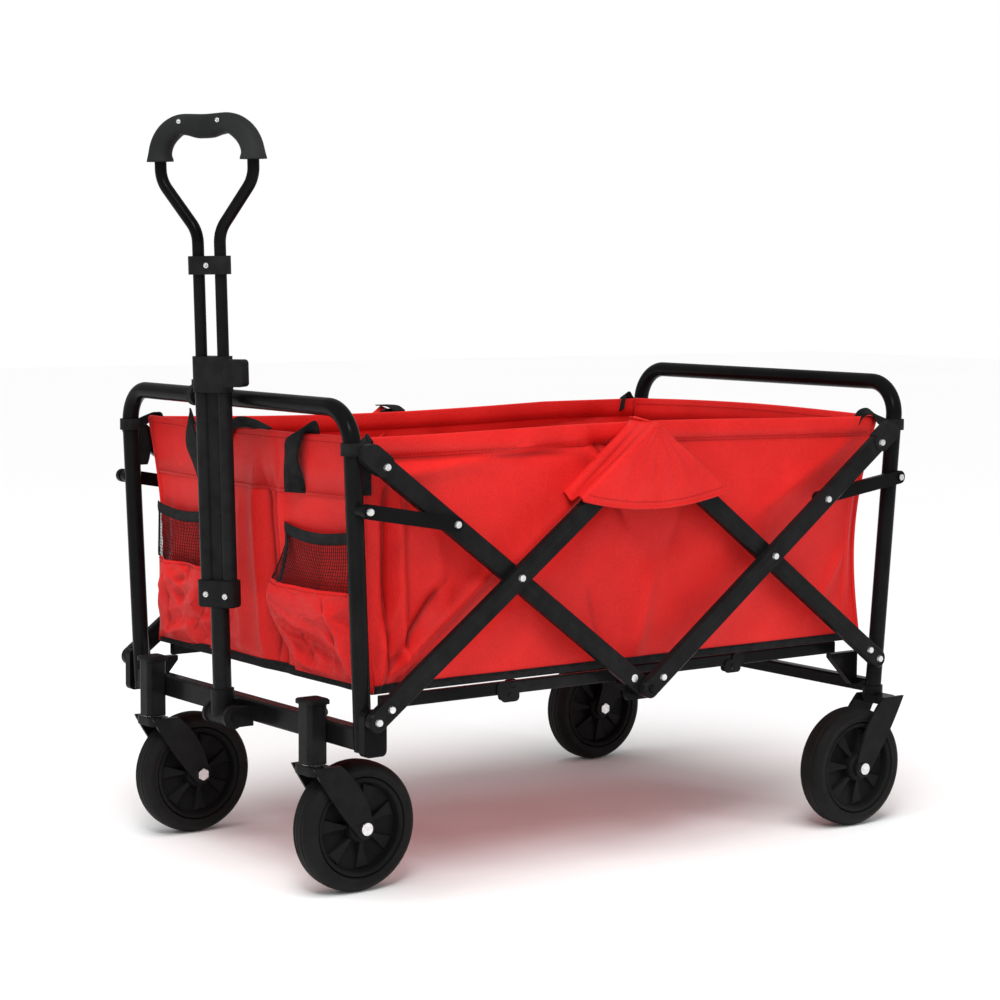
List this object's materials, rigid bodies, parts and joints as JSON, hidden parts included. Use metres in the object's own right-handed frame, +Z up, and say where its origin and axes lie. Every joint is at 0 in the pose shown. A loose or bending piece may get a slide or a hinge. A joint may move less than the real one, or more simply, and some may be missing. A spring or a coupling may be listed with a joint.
{
  "type": "folding camp wagon",
  "caption": "Folding four-wheel camp wagon: scissor side frames, fabric tub with pockets, caster front wheels and a telescoping pull handle.",
  "frame": {"origin": "on the ground under the middle of the bounding box, at the length from the handle grip to the rear wheels", "axes": "+X along the wagon from the pull handle to the tail, +Y across it, +Z up"},
  "size_m": [1.007, 0.636, 0.9571],
  "materials": {
    "frame_black": "semi-gloss powder coat",
    "rivet_steel": "bright",
    "plastic_black": "satin",
    "tyre": "matt",
    "wheel_plastic": "satin",
    "fabric_red": "woven polyester",
    "webbing_black": "webbing"
  },
  "bodies": {
    "front_frame": {"front_u_frame": "frame_black", "front_crossbar": "frame_black", "front_pivots": "frame_black", "handle_clip": "plastic_black", "front_wall": "fabric_red", "front_pockets": "fabric_red", "front_loops": "webbing_black", "side_wall_near": "fabric_red", "side_wall_far": "fabric_red", "floor_pad": "fabric_red"},
    "outer_front_bars": {"bar_b_near": "frame_black", "bar_b_far": "frame_black", "bar_b_rivets": "rivet_steel"},
    "inner_front_bars": {"bar_a_near": "frame_black", "bar_a_far": "frame_black", "bar_a_caps": "plastic_black", "bar_a_rivets": "rivet_steel"},
    "lower_hub": {"lower_hubs": "frame_black"},
    "outer_rear_bars": {"bar_c_near": "frame_black", "bar_c_far": "frame_black", "bar_c_caps": "plastic_black", "bar_c_rivets": "rivet_steel"},
    "inner_rear_bars": {"bar_d_near": "frame_black", "bar_d_far": "frame_black", "bar_d_rivets": "rivet_steel"},
    "rear_frame": {"rear_u_frame": "frame_black", "rear_crossbar": "frame_black", "rear_forks": "frame_black", "rear_axles": "rivet_steel", "rear_pivots": "frame_black", "rear_wall": "fabric_red"},
    "upper_hub": {"upper_hubs": "frame_black", "hub_flaps": "fabric_red"},
    "front_link": {"front_links": "frame_black"},
    "rear_link": {"rear_links": "frame_black"},
    "front_rail_1": {"front_rail_fore": "frame_black"},
    "front_rail_2": {"front_rail_aft": "frame_black"},
    "rear_rail_1": {"rear_rail_aft": "frame_black"},
    "rear_rail_2": {"rear_rail_fore": "frame_black"},
    "handle_foot": {"handle_yoke": "plastic_black", "handle_lower_tube": "frame_black"},
    "handle_sleeve": {"handle_lower_block": "plastic_black", "handle_outer_tubes": "frame_black", "handle_collar": "plastic_black"},
    "handle_slider": {"handle_loop": "frame_black", "handle_spacer": "plastic_black", "handle_grip": "plastic_black"},
    "handle_latch": {"handle_latch": "plastic_black"},
    "caster_near": {"caster_fork_near": "frame_black", "front_axle_near": "rivet_steel"},
    "caster_far": {"caster_fork_far": "frame_black", "front_axle_far": "rivet_steel"},
    "front_wheel_near": {"tyre_front_near": "tyre", "wheel_hub_front_near": "wheel_plastic"},
    "front_wheel_far": {"tyre_front_far": "tyre", "wheel_hub_front_far": "wheel_plastic"},
    "rear_wheel_near": {"tyre_rear_near": "tyre", "wheel_hub_rear_near": "wheel_plastic"},
    "rear_wheel_far": {"tyre_rear_far": "tyre", "wheel_hub_rear_far": "wheel_plastic"}
  },
  "joints": [
    {"name": "fold", "type": "hinge", "parent": "front_frame", "child": "outer_front_bars", "pos_m": [-0.39744, 0, 0.23], "axis": [0, -1, 0], "range_deg": [0, 40], "deforming": ["side_wall_near", "side_wall_far", "floor_pad"]},
    {"name": "front_crossing", "type": "hinge", "parent": "outer_front_bars", "child": "inner_front_bars", "pos_m": [-0.18644, 0, 0.388], "axis": [0, -1, 0], "range_deg": [-80.01, 0]},
    {"name": "lower_hub_pivot", "type": "hinge", "parent": "inner_front_bars", "child": "lower_hub", "pos_m": [0.02456, 0, 0.23], "axis": [0, -1, 0], "range_deg": [0, 40.01]},
    {"name": "lower_hub_rear_pivot", "type": "hinge", "parent": "inner_front_bars", "child": "outer_rear_bars", "pos_m": [0.02456, 0, 0.23], "axis": [0, -1, 0], "range_deg": [0, 80.01]},
    {"name": "rear_crossing", "type": "hinge", "parent": "outer_rear_bars", "child": "inner_rear_bars", "pos_m": [0.23556, 0, 0.388], "axis": [0, -1, 0], "range_deg": [-80.01, 0]},
    {"name": "rear_pivot", "type": "hinge", "parent": "inner_rear_bars", "child": "rear_frame", "pos_m": [0.44656, 0, 0.23], "axis": [0, -1, 0], "range_deg": [0, 40.01]},
    {"name": "upper_hub_pivot", "type": "hinge", "parent": "outer_front_bars", "child": "upper_hub", "pos_m": [0.02456, 0, 0.546], "axis": [0, -1, 0], "range_deg": [-40.01, 0]},
    {"name": "front_link_pivot", "type": "hinge", "parent": "front_frame", "child": "front_link", "pos_m": [-0.40826, 0, 0.481], "axis": [0, -1, 0], "range_deg": [0, 79.9]},
    {"name": "rear_link_pivot", "type": "hinge", "parent": "rear_frame", "child": "rear_link", "pos_m": [0.48232, 0, 0.481], "axis": [0, -1, 0], "range_deg": [-68.63, 0]},
    {"name": "front_rail_end", "type": "hinge", "parent": "front_frame", "child": "front_rail_1", "pos_m": [-0.35944, 0, 0.2345], "axis": [0, -1, 0], "range_deg": [0, 77.66]},
    {"name": "front_rail_knee", "type": "hinge", "parent": "front_rail_1", "child": "front_rail_2", "pos_m": [-0.16744, 0, 0.2345], "axis": [0, -1, 0], "range_deg": [-155.3, 0]},
    {"name": "rear_rail_end", "type": "hinge", "parent": "rear_frame", "child": "rear_rail_1", "pos_m": [0.40856, 0, 0.2345], "axis": [0, -1, 0], "range_deg": [-77.66, 0]},
    {"name": "rear_rail_knee", "type": "hinge", "parent": "rear_rail_1", "child": "rear_rail_2", "pos_m": [0.21656, 0, 0.2345], "axis": [0, -1, 0], "range_deg": [0, 155.3]},
    {"name": "handle_pitch", "type": "hinge", "parent": "front_frame", "child": "handle_foot", "pos_m": [-0.43444, -0.01, 0.199], "axis": [0, -1, 0], "range_deg": [0, 95]},
    {"name": "handle_turn", "type": "hinge", "parent": "handle_foot", "child": "handle_sleeve", "pos_m": [-0.43444, -0.01, 0.199], "axis": [-0.0297, 0, 0.9996], "range_deg": [-56, 0]},
    {"name": "handle_slide", "type": "slide", "parent": "handle_sleeve", "child": "handle_slider", "axis": [-0.0297, 0, 0.9996], "range_m": [-0.098, 0]},
    {"name": "handle_latch_lift", "type": "hinge", "parent": "handle_sleeve", "child": "handle_latch", "pos_m": [-0.43173, -0.04011, 0.64728], "axis": [-0.8826, -0.4695, -0.0262], "range_deg": [0, 60]},
    {"name": "caster_near_swivel", "type": "hinge", "parent": "front_frame", "child": "caster_near", "pos_m": [-0.42044, -0.2, 0.166], "axis": [0, 0, 1], "continuous": true},
    {"name": "caster_far_swivel", "type": "hinge", "parent": "front_frame", "child": "caster_far", "pos_m": [-0.42044, 0.2, 0.166], "axis": [0, 0, 1], "continuous": true},
    {"name": "front_wheel_near_spin", "type": "hinge", "parent": "caster_near", "child": "front_wheel_near", "pos_m": [-0.36044, -0.2, 0.082], "axis": [0, 1, 0], "continuous": true},
    {"name": "front_wheel_far_spin", "type": "hinge", "parent": "caster_far", "child": "front_wheel_far", "pos_m": [-0.36044, 0.2, 0.082], "axis": [0, 1, 0], "continuous": true},
    {"name": "rear_wheel_near_spin", "type": "hinge", "parent": "rear_frame", "child": "rear_wheel_near", "pos_m": [0.40656, -0.284, 0.082], "axis": [0, 1, 0], "continuous": true},
    {"name": "rear_wheel_far_spin", "type": "hinge", "parent": "rear_frame", "child": "rear_wheel_far", "pos_m": [0.40656, 0.284, 0.082], "axis": [0, 1, 0], "continuous": true}
  ],
  "couplings": [
    {"joint": "front_crossing", "follows": "fold", "ratio": -2},
    {"joint": "lower_hub_pivot", "follows": "fold", "ratio": 1},
    {"joint": "lower_hub_rear_pivot", "follows": "fold", "ratio": 2},
    {"joint": "rear_crossing", "follows": "fold", "ratio": -2},
    {"joint": "rear_pivot", "follows": "fold", "ratio": 1},
    {"joint": "upper_hub_pivot", "follows": "fold", "ratio": -1},
    {"joint": "front_link_pivot", "follows": "fold", "ratio": 1.9973},
    {"joint": "rear_link_pivot", "follows": "fold", "ratio": -1.7154},
    {"joint": "front_rail_end", "follows": "fold", "ratio": 1.9412},
    {"joint": "front_rail_knee", "follows": "fold", "ratio": -3.8824},
    {"joint": "rear_rail_end", "follows": "fold", "ratio": -1.9412},
    {"joint": "rear_rail_knee", "follows": "fold", "ratio": 3.8824}
  ]
}
